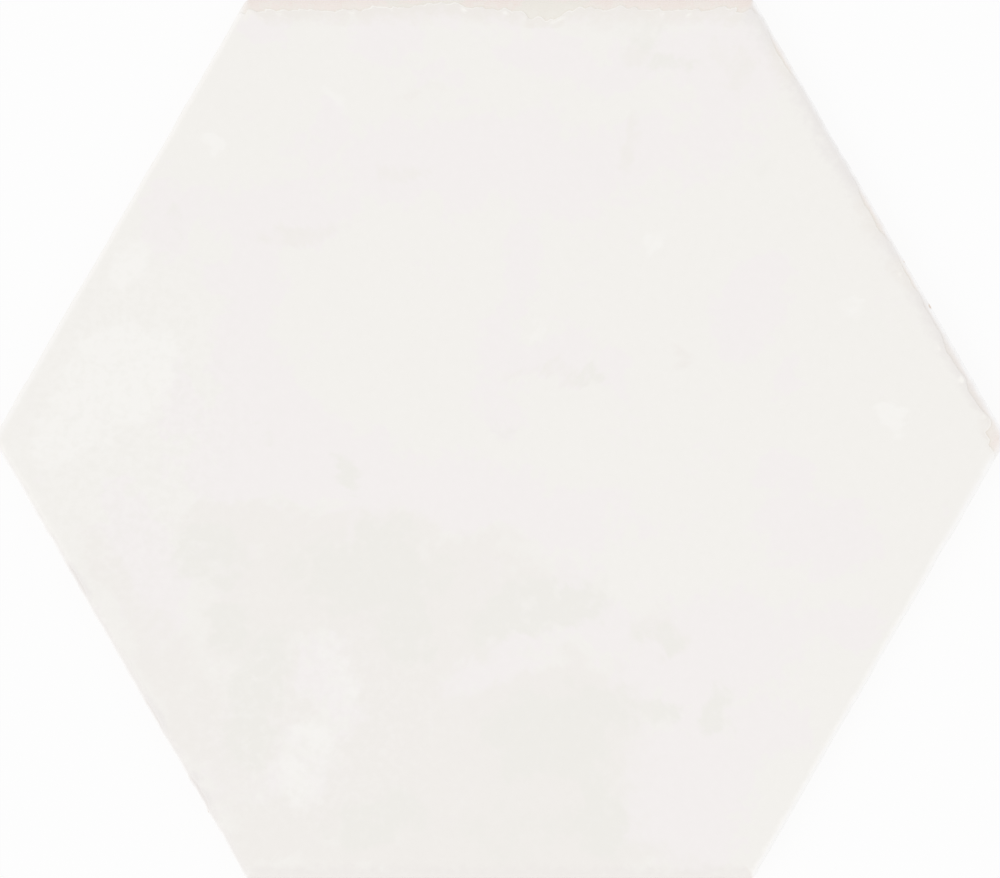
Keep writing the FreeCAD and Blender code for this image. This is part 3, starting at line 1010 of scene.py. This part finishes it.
def kilnWashedBack():
    material, tree, shader = newMaterial("kilnWashedBack")
    look = backLook
    place = inMillimetres(tree)
    height = separate(place)[2]
    grain = useGroup(tree, clayGrain, {
        "Place": place, "Grain Size": look["grainSize"], "Fleck Share": look["fleckShare"]})
    tone = result(grain, "Tone").ramp(0.34, 0.66)
    colour = blend(tone, seen(*look["deep"]), seen(*look["clay"]))
    patches = blotches(place, look["patchSize"], 0.1)
    colour = blend(patches * 0.35, colour, seen(*look["clay"]))
    deepIn = height.ramp(look["ribTop"], look["cellFloor"])
    # Painted shade: the clay is painted darker towards the floors of the cells.
    colour = blend(deepIn * 0.3, colour, seen(*look["deep"]))
    powder = result(useGroup(tree, dust, {
        "Place": place, "Patch Size": look["powderSize"], "Cover": look["powderCover"]}))
    colour = blend(powder * (deepIn.flipped() * 0.55 + 0.1), colour, seen(*look["wash"]))
    colour = blend(result(grain, "Flecks") * 0.5, colour, seen(*look["rust"]))
    feed(shader, Base_Color=colour, Roughness=tone * 0.08 + look["roughness"],
         Normal=bumped(result(grain, "Height"), look["grainDepth"]))
    return material


def growTile(materials):
    tree = TileTree().build()
    start = bpy.data.objects.new("tileSeed", bpy.data.meshes.new("tileSeed"))
    bpy.context.scene.collection.objects.link(start)
    modifier = start.modifiers.new("pressedTile", "NODES")
    modifier.node_group = tree
    values = {**tileInputs(), **cellInputs(), **materials}
    for item in tree.interface.items_tree:
        if item.in_out == "INPUT" and item.name in values:
            modifier[item.identifier] = values[item.name]
    grown = start.evaluated_get(bpy.context.evaluated_depsgraph_get())
    mesh = bpy.data.meshes.new_from_object(grown)
    bpy.data.objects.remove(start)
    tile = bpy.data.objects.new("glazed_tile", mesh)
    bpy.context.scene.collection.objects.link(tile)
    print(f"tile grown: {len(mesh.vertices)} points, {len(mesh.polygons)} faces")
    return tile


materials = {"Glaze": satinGlaze(), "Clay": firedClay(), "Back": kilnWashedBack()}
print("materials mixed")
tile = growTile(materials)
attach(tile, "root")
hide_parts("hexagon_tile")


# Floor, light and camera: a bright table in a light tent, with the sun through its left wall.
studio = {
    "floorHalf": 6.0,
    "floorDrop": 0.05 * mm,
    "floorGlow": 0.8635,
    "floorGrey": 0.12,
    "tentStrength": 0.914,
    "sunStrength": 0.38,
    "sunSpread": 50.0,
    "sunTilt": 42.0,
    "sunTurn": 212.0,
    "cameraHeight": 2.4,
    "tileAcrossInPixels": 1016.0,
    "frameWidthInPixels": 1000,
}


def layFloor():
    half, level = studio["floorHalf"], -studio["floorDrop"]
    corners = [(-half, -half), (half, -half), (half, half), (-half, half)]
    mesh = bpy.data.meshes.new("studioFloor")
    mesh.from_pydata([(x, y, level) for x, y in corners], [], [(0, 1, 2, 3)])
    floor = bpy.data.objects.new("studioFloor", mesh)
    material, tree, shader = newMaterial("glowingTable")
    grey = studio["floorGrey"]
    feed(shader, Base_Color=(grey, grey, grey, 1.0), Roughness=0.9, Specular_IOR_Level=0.0,
         Emission_Color=(1.0, 1.0, 1.0, 1.0), Emission_Strength=studio["floorGlow"])
    # Seen from below the table is clear, so the tile's back can be looked at through it.
    clear = addNode(tree, "ShaderNodeBsdfTransparent")
    under = addNode(tree, "ShaderNodeNewGeometry").outputs["Backfacing"]
    either = addNode(tree, "ShaderNodeMixShader")
    tree.links.new(under, either.inputs[0])
    tree.links.new(shader.outputs[0], either.inputs[1])
    tree.links.new(clear.outputs[0], either.inputs[2])
    tree.links.new(either.outputs[0], tree.nodes["Material Output"].inputs["Surface"])
    material.cycles.emission_sampling = "NONE"
    mesh.materials.append(material)
    bpy.context.scene.collection.objects.link(floor)


def lightStudio():
    world = bpy.data.worlds.new("lightTent")
    world.use_nodes = True
    feed(world.node_tree.nodes["Background"],
         Color=(1.0, 1.0, 1.0, 1.0), Strength=studio["tentStrength"])
    bpy.context.scene.world = world
    data = bpy.data.lights.new("tentSun", "SUN")
    data.energy = studio["sunStrength"]
    data.angle = math.radians(studio["sunSpread"])
    sun = bpy.data.objects.new("tentSun", data)
    sun.rotation_euler = (0.0, math.radians(studio["sunTilt"]), math.radians(studio["sunTurn"]))
    bpy.context.scene.collection.objects.link(sun)


def setCamera():
    data = bpy.data.cameras.new("overhead")
    data.sensor_width = 36.0
    sharpAcross = (tileHigh.y - tileLow.y) / math.cos(halfSideTurn)
    shown = sharpAcross * studio["frameWidthInPixels"] / studio["tileAcrossInPixels"]
    distance = studio["cameraHeight"] - tileHigh.z
    data.lens = data.sensor_width * distance / shown
    data.clip_end = 50
    camera = bpy.data.objects.new("overhead", data)
    camera.location = (0.0, 0.0, studio["cameraHeight"])
    bpy.context.scene.collection.objects.link(camera)
    bpy.context.scene.camera = camera


layFloor()
lightStudio()
setCamera()
bpy.context.scene.view_settings.view_transform = "Standard"
print("studio set")
